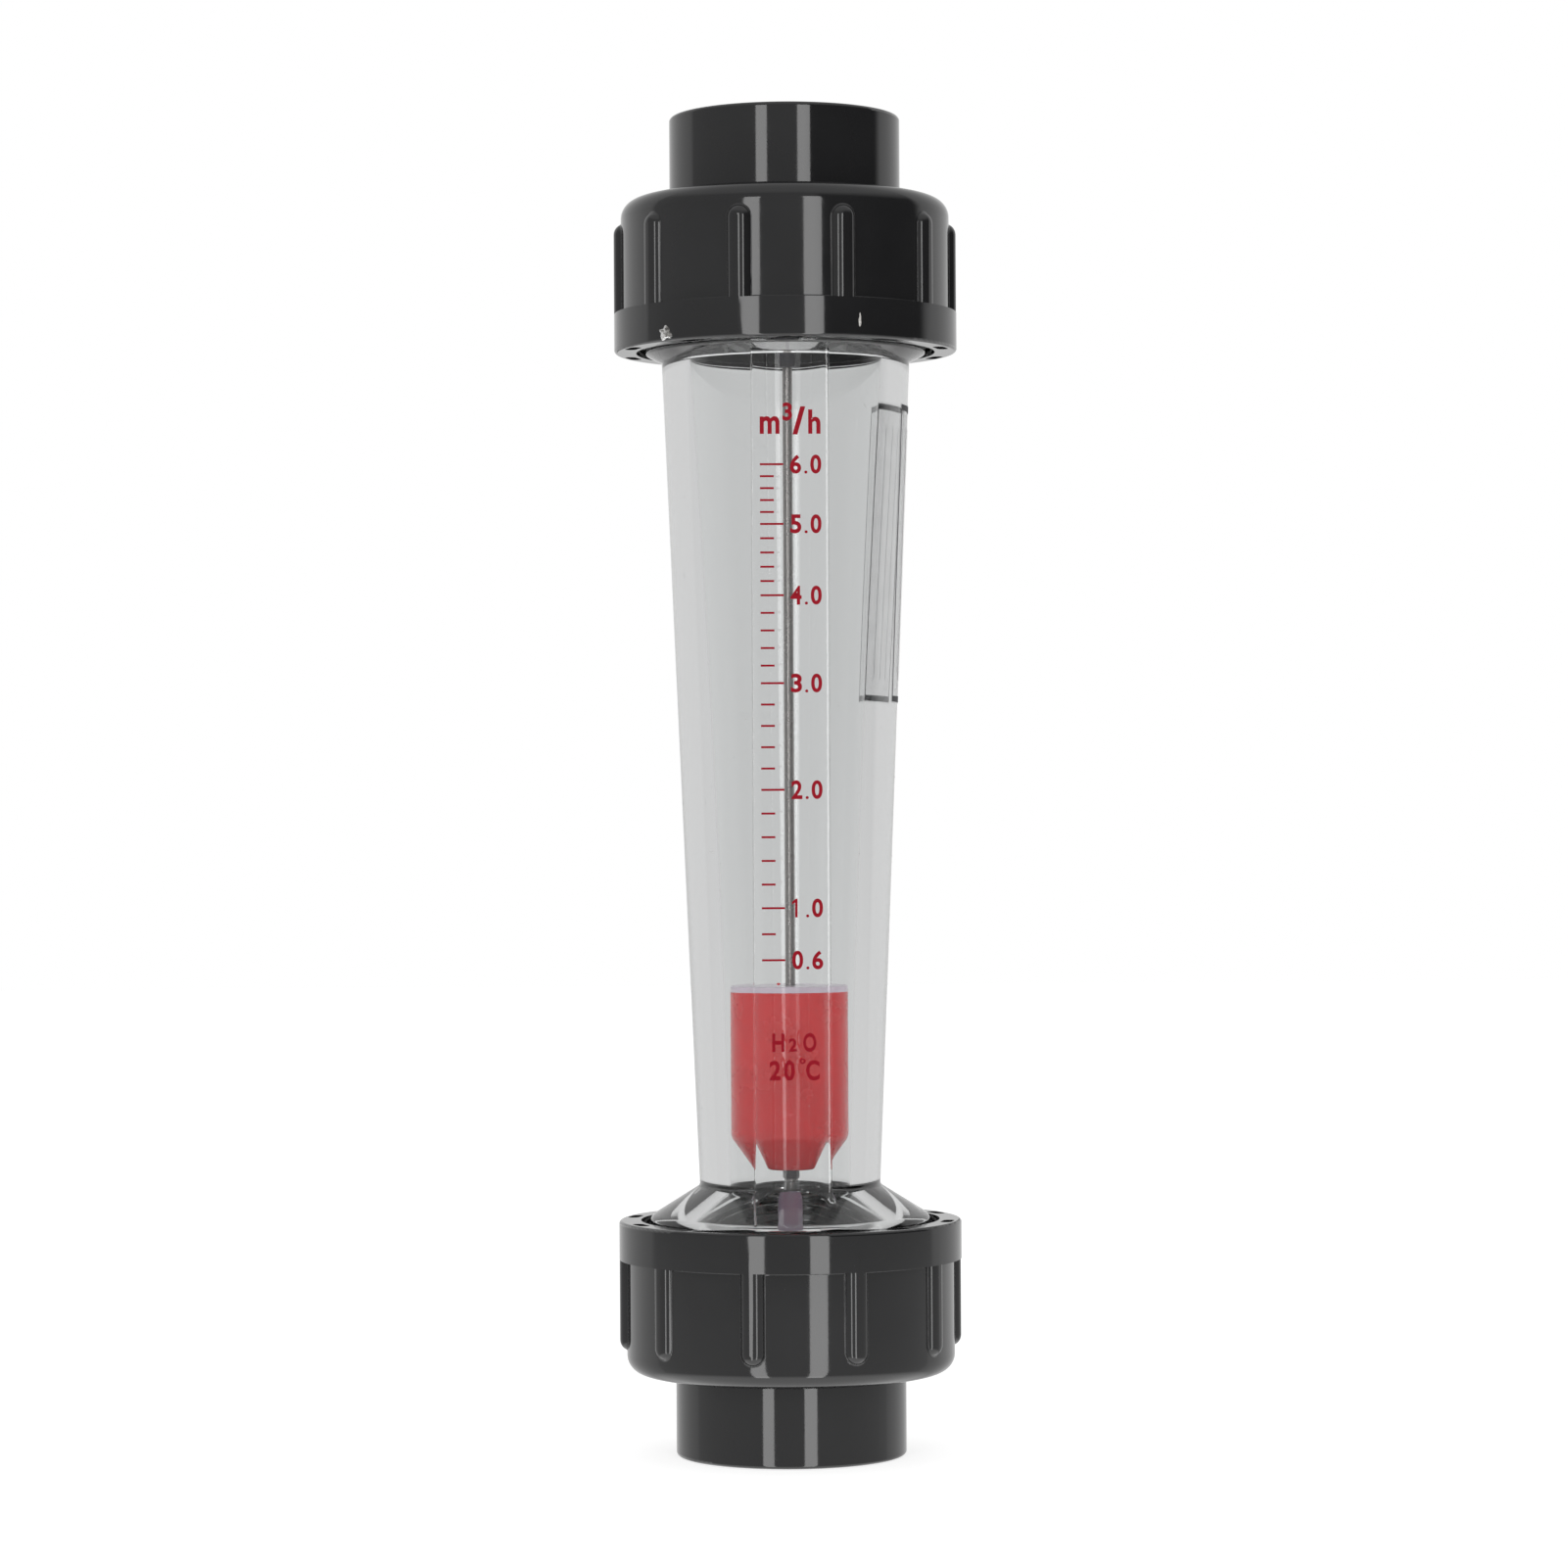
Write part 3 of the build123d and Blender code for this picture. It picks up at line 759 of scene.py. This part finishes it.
def makeTube():
    outside, inside = tubeOutline()
    panelFoot = tube["inletNeck"] - tube["panelBury"]
    panelHead = tube["outletNeck"] + tube["panelBury"]
    dustFoot, dustHead = tube["inletNeck"] + tube["dustFoot"], tube["outletNeck"] - tube["dustHead"]
    rings = []

    def addRing(height, bearings, right, left, cut):
        around = list(zip(bearings, right))
        around += [(-turn, reach) for turn, reach in reversed(list(zip(bearings, left))[1:-1])]
        rings.append([(turn, reach - cut(height, turn), height) for turn, reach in around])

    for radius, height in outside:
        front = panelFront(min(max(height, panelFoot), panelHead))
        bearings = halfBearings(radius, front)
        left, right = [], []
        for turn in bearings:
            reach = radius
            if panelFoot < height < panelHead and turn < 1:
                reach = max(radius, panelReach(turn, front))
            left.append(reach)
            right.append(max(radius, reach - edgeRoll(turn, reach)))
        # the last point, right behind, belongs to both halves
        addRing(height, bearings + [math.pi], right + [radius], left + [radius], threadCut)
    steps = len(rings[0]) // 2
    for radius, height in inside:
        even = [math.pi * k / steps for k in range(steps + 1)]
        level = [radius] * len(even)
        addRing(height, even, level, level, lambda height, turn: 0)
    points, faces, wall = [], [], []
    for ring in rings:
        points += [(math.sin(t) * r * mm, -math.cos(t) * r * mm, z * mm) for t, r, z in ring]
    wide = 2 * steps
    for k, ring in enumerate(rings):
        low, high = k * wide, (k + 1) % len(rings) * wide
        after = [(i + 1) % wide for i in range(wide)]
        strip = [(low + i, low + j, high + j, high + i) for i, j in enumerate(after)]
        faces += strip
        if k < len(outside) - 1 and dustFoot < ring[0][2] < dustHead:
            wall += strip
    piece = meshPiece("clearTube", points, faces, clearPvc)
    smoothBelow(piece.data, tube["hardEdge"])
    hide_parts("measuring_tube")
    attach(piece, "meter_body")
    print("clear tube:", len(faces), "faces")
    return points, wall


tubePoints, tubeWall = makeTube()

# the rod's lower stop, in millimetres: a spring clip that the float rests on, and the sleeve
# that starts a little lower

stop = {
    "bareRod": 5.6, "sleeveR": 4.15, "boreR": 2.6, "sleeveRound": 0.4,
    "clipR": 3.5, "clipBore": 2.52, "clipThick": 0.8, "clipRound": 0.15,
    "around": 64, "arc": 15.0, "hardEdge": 40,
}


def turnedRing(name, bore, radius, foot, top, rounding, material):
    # a ring turned about the axis, its outer edges rounded
    outline = roundCorners([(bore, foot, 0), (radius, foot, rounding), (radius, top, rounding),
                            (bore, top, 0)], stop["arc"])
    steps, count = stop["around"], len(outline)
    points, faces = [], []
    for k in range(steps):
        turn = 2 * math.pi * k / steps
        points += [(math.sin(turn) * r * mm, -math.cos(turn) * r * mm, z * mm) for r, z in outline]
        low, high = k * count, (k + 1) % steps * count
        for i in range(count):
            after = (i + 1) % count
            faces.append((low + i, high + i, high + after, low + after))
    ring = meshPiece(name, points, faces, material)
    smoothBelow(ring.data, stop["hardEdge"])
    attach(ring, "meter_body")
    return ring


def makeStop():
    foot, top = (corner[2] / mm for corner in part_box("inlet_stop_sleeve"))
    sleeve = turnedRing("lowerStopSleeve", stop["boreR"], stop["sleeveR"], foot, top - stop["bareRod"],
                        stop["sleeveRound"], mauveSleeve)
    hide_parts("inlet_stop_sleeve")
    turnedRing("lowerStopClip", stop["clipBore"], stop["clipR"], top - stop["clipThick"], top,
               stop["clipRound"], stainless)


makeStop()
print("lower stop made")

# scale printed on the panel, in millimetres

dial = {
    # flow in cubic metres an hour against height in millimetres
    "majors": {6.0: 319.4, 5.0: 300.5, 4.0: 277.9, 3.0: 250.0, 2.0: 216.1, 1.0: 178.4, 0.6: 161.8},
    "minorStep": 0.2,
    "left": -9.7, "longMark": 7.4, "shortMark": 4.4, "stroke": 0.66,
    # left and right of a number's whole digit, or of a narrow one, its point and its tenth
    "whole": (-0.1, 3.4), "narrow": (-0.1, 1.7), "point": (4.4, 5.4), "tenth": (6.3, 9.8),
    "numberHeight": 6.0, "pointHeight": 0.95,
    # other characters, with their left, right, foot and head
    "words": [
        ("m", -9.7, -3.4, 329.0, 334.6),
        ("3", -2.5, 0.6, 333.2, 338.9),
        ("/", 0.7, 4.8, 328.8, 337.7),
        ("h", 5.7, 9.6, 329.0, 336.7),
        ("H", -6.6, -2.7, 132.5, 138.4),
        ("2", -1.3, 1.3, 132.5, 136.8),
        ("O", 3.3, 7.5, 132.4, 138.5),
        ("2", -7.5, -3.9, 123.4, 129.7),
        ("0", -2.8, 0.6, 123.3, 129.8),
        ("o", 2.2, 4.0, 128.6, 130.4),
        ("C", 4.2, 8.5, 123.3, 129.8),
    ],
    # the scale's own figure one, in shares of its width and height
    "one": ((0.56, 0), (1, 0), (1, 1), (0.68, 1), (0, 0.82), (0, 0.68), (0.56, 0.8)),
    "boldness": 0.03, "curveRuns": 6,
    "inkProud": 0.03, "inkSunk": 0.02,
}


def fontGlyph(character):
    letter = bpy.data.curves.new("glyph", "FONT")
    letter.body = character
    letter.offset = dial["boldness"]
    letter.extrude = 0.5
    letter.resolution_u = dial["curveRuns"]
    holder = bpy.data.objects.new("glyph", letter)
    mesh = bpy.data.meshes.new_from_object(holder)
    bpy.data.objects.remove(holder)
    bpy.data.curves.remove(letter)
    points = [tuple(vertex.co) for vertex in mesh.vertices]
    faces = [tuple(side.vertices) for side in mesh.polygons]
    bpy.data.meshes.remove(mesh)
    return points, faces


def narrowOne():
    # narrower than the font's: a stem with a slanting flag
    count = len(dial["one"])
    points = [(x, y, z) for z in (-0.5, 0.5) for x, y in dial["one"]]
    faces = [tuple(reversed(range(count))), tuple(range(count, 2 * count))]
    faces += [(i, (i + 1) % count, count + (i + 1) % count, count + i) for i in range(count)]
    return points, faces


def printGlyph(character, left, right, low, high):
    shape, faces = narrowOne() if character == "1" else fontGlyph(character)
    xs, ys = [p[0] for p in shape], [p[1] for p in shape]
    points = []
    for x, y, z in shape:
        across = left + (x - min(xs)) / (max(xs) - min(xs)) * (right - left)
        height = low + (y - min(ys)) / (max(ys) - min(ys)) * (high - low)
        proud = dial["inkProud"] if z > 0 else -dial["inkSunk"]
        points.append((across * mm, -(panelFront(height) + proud) * mm, height * mm))
    return points, faces


def makeLettering():
    glyphs = list(dial["words"])
    tall = dial["numberHeight"] / 2
    for flow, height in dial["majors"].items():
        whole, tenth = f"{flow:.1f}".split(".")
        foot, head = height - tall, height + tall
        glyphs.append((whole, *dial["narrow" if whole == "1" else "whole"], foot, head))
        glyphs.append((".", *dial["point"], foot, foot + dial["pointHeight"]))
        glyphs.append((tenth, *dial["tenth"], foot, head))
    points, faces = [], []
    for glyph in glyphs:
        more, sides = printGlyph(*glyph)
        start = len(points)
        points += more
        faces += [tuple(start + i for i in side) for side in sides]
    piece = meshPiece("scaleLettering", points, faces, scaleInk)
    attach(piece, "meter_body")


def markTree():
    # a printed bar on each point, as long as the point's own reach
    tree, given = geometryTree("scaleMarks", {
        "Stroke": "Float", "Ink Depth": "Float", "Tilt": "Float", "Ink": "Material"})
    bar = addNode(tree, "GeometryNodeMeshCube", values={"Size": (1, 1, 1)})
    fromLeft = addNode(tree, "GeometryNodeTransform", values={"Translation": (0.5, 0, 0)},
                       links={"Geometry": bar.outputs["Mesh"]})
    size = addNode(tree, "ShaderNodeCombineXYZ",
                   links={"X": pointValue(tree, "reach"), "Y": given.outputs["Ink Depth"],
                          "Z": given.outputs["Stroke"]})
    lean = addNode(tree, "ShaderNodeCombineXYZ", links={"X": given.outputs["Tilt"]})
    bars = addNode(tree, "GeometryNodeInstanceOnPoints",
                   links={"Points": given.outputs["Geometry"], "Instance": fromLeft.outputs[0],
                          "Rotation": lean.outputs[0], "Scale": size.outputs[0]})
    finishTree(tree, bars.outputs[0], given.outputs["Ink"])
    return tree


def makeMarks():
    flows = sorted(dial["majors"])
    bars = [(height, dial["longMark"]) for height in dial["majors"].values()]
    for low, high in zip(flows, flows[1:]):
        count = round((high - low) / dial["minorStep"])
        for k in range(1, count):
            share = k / count
            height = dial["majors"][low] * (1 - share) + dial["majors"][high] * share
            bars.append((height, dial["shortMark"]))
    middle = (dial["inkProud"] - dial["inkSunk"]) / 2
    points = [(dial["left"] * mm, -(panelFront(z) + middle) * mm, z * mm) for z, _ in bars]
    piece = meshPiece("scaleMarks", points, [], scaleInk)
    setPointValues(piece, "reach", [length * mm for _, length in bars])
    grow(piece, markTree(), {
        "Stroke": dial["stroke"] * mm,
        "Ink Depth": (dial["inkProud"] + dial["inkSunk"]) * mm,
        "Tilt": math.atan(wallLean()),
        "Ink": scaleInk,
    })
    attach(piece, "meter_body")


makeLettering()
makeMarks()
print("scale printed")

# the label's printed frame, in millimetres and degrees

label = {
    "low": 244.0, "high": 341.0, "bearing": 87.0, "width": 26.5,
    "lift": 0.19, "ink": 0.03,
    "endBand": 1.9, "sideBand": 0.7, "inset": 0.5, "rule": 0.25,
    "rules": (0.27, 0.5, 0.73), "ruleEnd": 7,
    "acrossStep": 1.0, "upStep": 4.0, "hardEdge": 40,
}


def makeLabelFrame():
    middleR = outerR((label["low"] + label["high"]) / 2)
    half = label["width"] / 2 - label["inset"]
    low, high = label["low"] + label["inset"], label["high"] - label["inset"]
    bands = [
        (-half, half, low, low + label["endBand"]),
        (-half, half, high - label["endBand"], high),
        (-half, -half + label["sideBand"], low + label["endBand"], high - label["endBand"]),
        (half - label["sideBand"], half, low + label["endBand"], high - label["endBand"]),
    ]
    for share in label["rules"]:
        across = -half + 2 * half * share
        bands.append((across, across + label["rule"], low + label["ruleEnd"], high - label["ruleEnd"]))
    points, faces = [], []
    for left, right, foot, top in bands:
        columns = max(1, round((right - left) / label["acrossStep"]))
        rows = max(1, round((top - foot) / label["upStep"]))
        start = len(points)
        for sheet in (label["lift"], label["lift"] + label["ink"]):
            for j in range(rows + 1):
                for i in range(columns + 1):
                    across = left + (right - left) * i / columns
                    height = foot + (top - foot) * j / rows
                    turn = math.radians(label["bearing"]) + across / middleR
                    r = (outerR(height) + sheet) * mm
                    points.append((math.sin(turn) * r, -math.cos(turn) * r, height * mm))
        wide = columns + 1
        sheetSize = wide * (rows + 1)

        def at(i, j, sheet):
            return start + sheet * sheetSize + j * wide + i

        for j in range(rows):
            for i in range(columns):
                square = [(i, j), (i + 1, j), (i + 1, j + 1), (i, j + 1)]
                faces.append([at(*place, 1) for place in square])
                faces.append([at(*place, 0) for place in reversed(square)])
        rim = [(i, 0) for i in range(columns)] + [(columns, j) for j in range(rows)]
        rim += [(i, rows) for i in range(columns, 0, -1)] + [(0, j) for j in range(rows, 0, -1)]
        for here, after in zip(rim, rim[1:] + rim[:1]):
            faces.append((at(*here, 0), at(*after, 0), at(*after, 1), at(*here, 1)))
    piece = meshPiece("labelFrame", points, faces, labelInk)
    smoothBelow(piece.data, label["hardEdge"])
    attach(piece, "meter_body")


makeLabelFrame()
print("label printed")

# what moulding and fitting left on the meter, in millimetres and degrees

leftovers = {
    # the parting line: its place, its thickness, how much rougher it gets towards the gate
    "ridgeAcross": -12.5, "ridge": 0.2, "gateRidge": 0.55, "ridgeStep": 0.4,
    "ridgeStart": 0.5, "ridgeShort": 1.2, "ridgeSides": 10, "ridgeWaver": 0.55,
    "beads": {
        "glueBead": {
            "body": "outlet_nut", "slot": "clear_tube", "material": cementDrip, "bearing": -45.0,
            "reach": 55.6, "height": 361.2, "size": (2.5, 0.9, 2.1), "taper": 0.45, "seed": 3.0,
        },
        "glueFleck": {
            "body": "outlet_nut", "slot": "cap_white", "material": cementFleck, "bearing": 23.0,
            "reach": 55.7, "height": 364.0, "size": (0.42, 0.2, 2.0), "taper": 0.3, "seed": 8.0,
        },
        "redDrop": {
            "body": "float", "slot": "float_red", "material": redAbs, "bearing": -14.0,
            "reach": 18.6, "height": 154.0, "size": (0.6, 0.5, 0.35), "taper": 0.1, "seed": 5.0,
        },
    },
    # how far a bead's lumps and ripples stand out, and how close they are
    "lumps": (0.45, 1.6), "ripples": (0.12, 5),
}


def makeBead(name, bead):
    work = bmesh.new()
    bmesh.ops.create_icosphere(work, subdivisions=4, radius=1)
    turn = math.radians(bead["bearing"])
    out = Vector((math.sin(turn), -math.cos(turn), 0))
    across = Vector((math.cos(turn), math.sin(turn), 0))
    wide, thick, tall = bead["size"]
    (lumpy, lumpRate), (rippled, rippleRate) = leftovers["lumps"], leftovers["ripples"]
    for point in work.verts:
        unit = point.co.copy()
        lump = (1 + lumpy * noise.noise(unit * lumpRate + Vector((bead["seed"], 0, 0)))
                + rippled * noise.noise(unit * rippleRate))
        aside = unit.x * wide * (1 - bead["taper"] * unit.z) * lump
        place = across * aside + out * (bead["reach"] + unit.y * thick * lump)
        point.co = (place + Vector((0, 0, bead["height"] + unit.z * tall * lump))) * mm
    mesh = bpy.data.meshes.new(name)
    bmesh.ops.recalc_face_normals(work, faces=work.faces[:])
    work.to_mesh(mesh)
    work.free()
    mesh.shade_smooth()
    piece = bpy.data.objects.new(name, mesh)
    scene.collection.objects.link(piece)
    mesh.materials.append(bead["material"])
    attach(piece, bead["body"])


def ridgeTree():
    # a bead along a line, as thick as the line's own points say
    tree, given = geometryTree("partingRidge", {"Thickness": "Float", "Plastic": "Material"})
    line = addNode(tree, "GeometryNodeMeshToCurve", links={"Mesh": given.outputs["Geometry"]})
    thick = maths(tree, "MULTIPLY", given.outputs["Thickness"], pointValue(tree, "swell"))
    section = addNode(tree, "GeometryNodeCurvePrimitiveCircle", {"mode": "RADIUS"},
                      {"Resolution": leftovers["ridgeSides"], "Radius": 1.0})
    bead = addNode(tree, "GeometryNodeCurveToMesh", values={"Fill Caps": True},
                   links={"Curve": line.outputs[0], "Profile Curve": section.outputs[0],
                          "Scale": thick})
    finishTree(tree, bead.outputs[0], given.outputs["Plastic"])
    return tree


def makeRidge():
    # the mould's parting line crosses both shoulders beside the panel, and is rougher on
    # the lower one, where the gate was
    across, step = leftovers["ridgeAcross"], leftovers["ridgeStep"]
    points, swells, links = [], [], []
    for end, way, rough in (("inlet", -1, leftovers["gateRidge"]), ("outlet", 1, 0.0)):
        neck, neckR, fall = tube[end + "Neck"], tube[end + "NeckR"], slopeOf(end)
        runs = round((tube["rimR"] - neckR - leftovers["ridgeShort"]) / step)
        for k in range(runs + 1):
            r = neckR + leftovers["ridgeStart"] + k * step
            points.append((across * mm, -math.sqrt(r * r - across * across) * mm,
                           (neck + way * (r - neckR) * fall) * mm))
            lumps = 0.5 + 0.5 * noise.noise(Vector((0, 0, k * leftovers["ridgeWaver"])))
            swells.append(leftovers["ridge"] + rough * k / runs * lumps)
            if k:
                links.append((len(points) - 2, len(points) - 1))
    piece = meshPiece("partingRidge", points, [], clearPvc)
    piece.data.edges.add(len(links))
    for edge, ends in zip(piece.data.edges, links):
        edge.vertices = ends
    setPointValues(piece, "swell", swells)
    grow(piece, ridgeTree(), {"Thickness": mm, "Plastic": clearPvc})
    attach(piece, "meter_body")


for name, bead in leftovers["beads"].items():
    makeBead(name, bead)
makeRidge()
print("moulding and glue marks made")

# dust and hairline scuffs on the tube's wall: how many to a square metre, how long in
# millimetres, and how thin for their length

scatter = {
    "specks": {"density": 1300.0, "small": 0.05, "large": 0.17, "thin": 0.8, "seed": 7},
    "scuffs": {"density": 380.0, "small": 0.5, "large": 1.6, "thin": 0.035, "seed": 12},
}


def scatterTree():
    # grains scattered over a surface, turned at random about its normal
    tree, given = geometryTree("scatteredGrains", {
        "Density": "Float", "Small": "Float", "Large": "Float", "Thin": "Float",
        "Seed": "Int", "Finish": "Material"})
    spread = addNode(tree, "GeometryNodeDistributePointsOnFaces", {"distribute_method": "RANDOM"},
                     links={"Mesh": given.outputs["Geometry"], "Density": given.outputs["Density"],
                            "Seed": given.outputs["Seed"]})
    grain = addNode(tree, "GeometryNodeMeshIcoSphere", values={"Radius": 1.0, "Subdivisions": 1})
    spin = addNode(tree, "FunctionNodeRandomValue", {"data_type": "FLOAT"},
                   {"Min": 0.0, "Max": math.pi}, {"Seed": given.outputs["Seed"]})
    about = addNode(tree, "ShaderNodeCombineXYZ", links={"Z": spin.outputs["Value"]})
    turned = addNode(tree, "FunctionNodeRotateRotation", {"rotation_space": "LOCAL"},
                     links={"Rotation": spread.outputs["Rotation"], "Rotate By": about.outputs[0]})
    size = addNode(tree, "FunctionNodeRandomValue", {"data_type": "FLOAT"},
                   links={"Min": given.outputs["Small"], "Max": given.outputs["Large"],
                          "Seed": given.outputs["Seed"]})
    across = maths(tree, "MULTIPLY", size.outputs["Value"], given.outputs["Thin"])
    scale = addNode(tree, "ShaderNodeCombineXYZ",
                    links={"X": size.outputs["Value"], "Y": across, "Z": across})
    grains = addNode(tree, "GeometryNodeInstanceOnPoints",
                     links={"Points": spread.outputs["Points"], "Instance": grain.outputs["Mesh"],
                            "Rotation": turned.outputs[0], "Scale": scale.outputs[0]})
    finishTree(tree, grains.outputs[0], given.outputs["Finish"])
    return tree


def makeSpecks():
    tree = scatterTree()
    for name, kind in scatter.items():
        piece = meshPiece(name, tubePoints, tubeWall, dust)
        grow(piece, tree, {
            "Density": kind["density"],
            "Small": kind["small"] * mm,
            "Large": kind["large"] * mm,
            "Thin": kind["thin"],
            "Seed": kind["seed"],
            "Finish": dust,
        })
        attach(piece, "meter_body")
        print(name + ":", len(piece.data.polygons), "faces")


makeSpecks()
print("dust and scuffs scattered")

scene.view_settings.view_transform = "Standard"
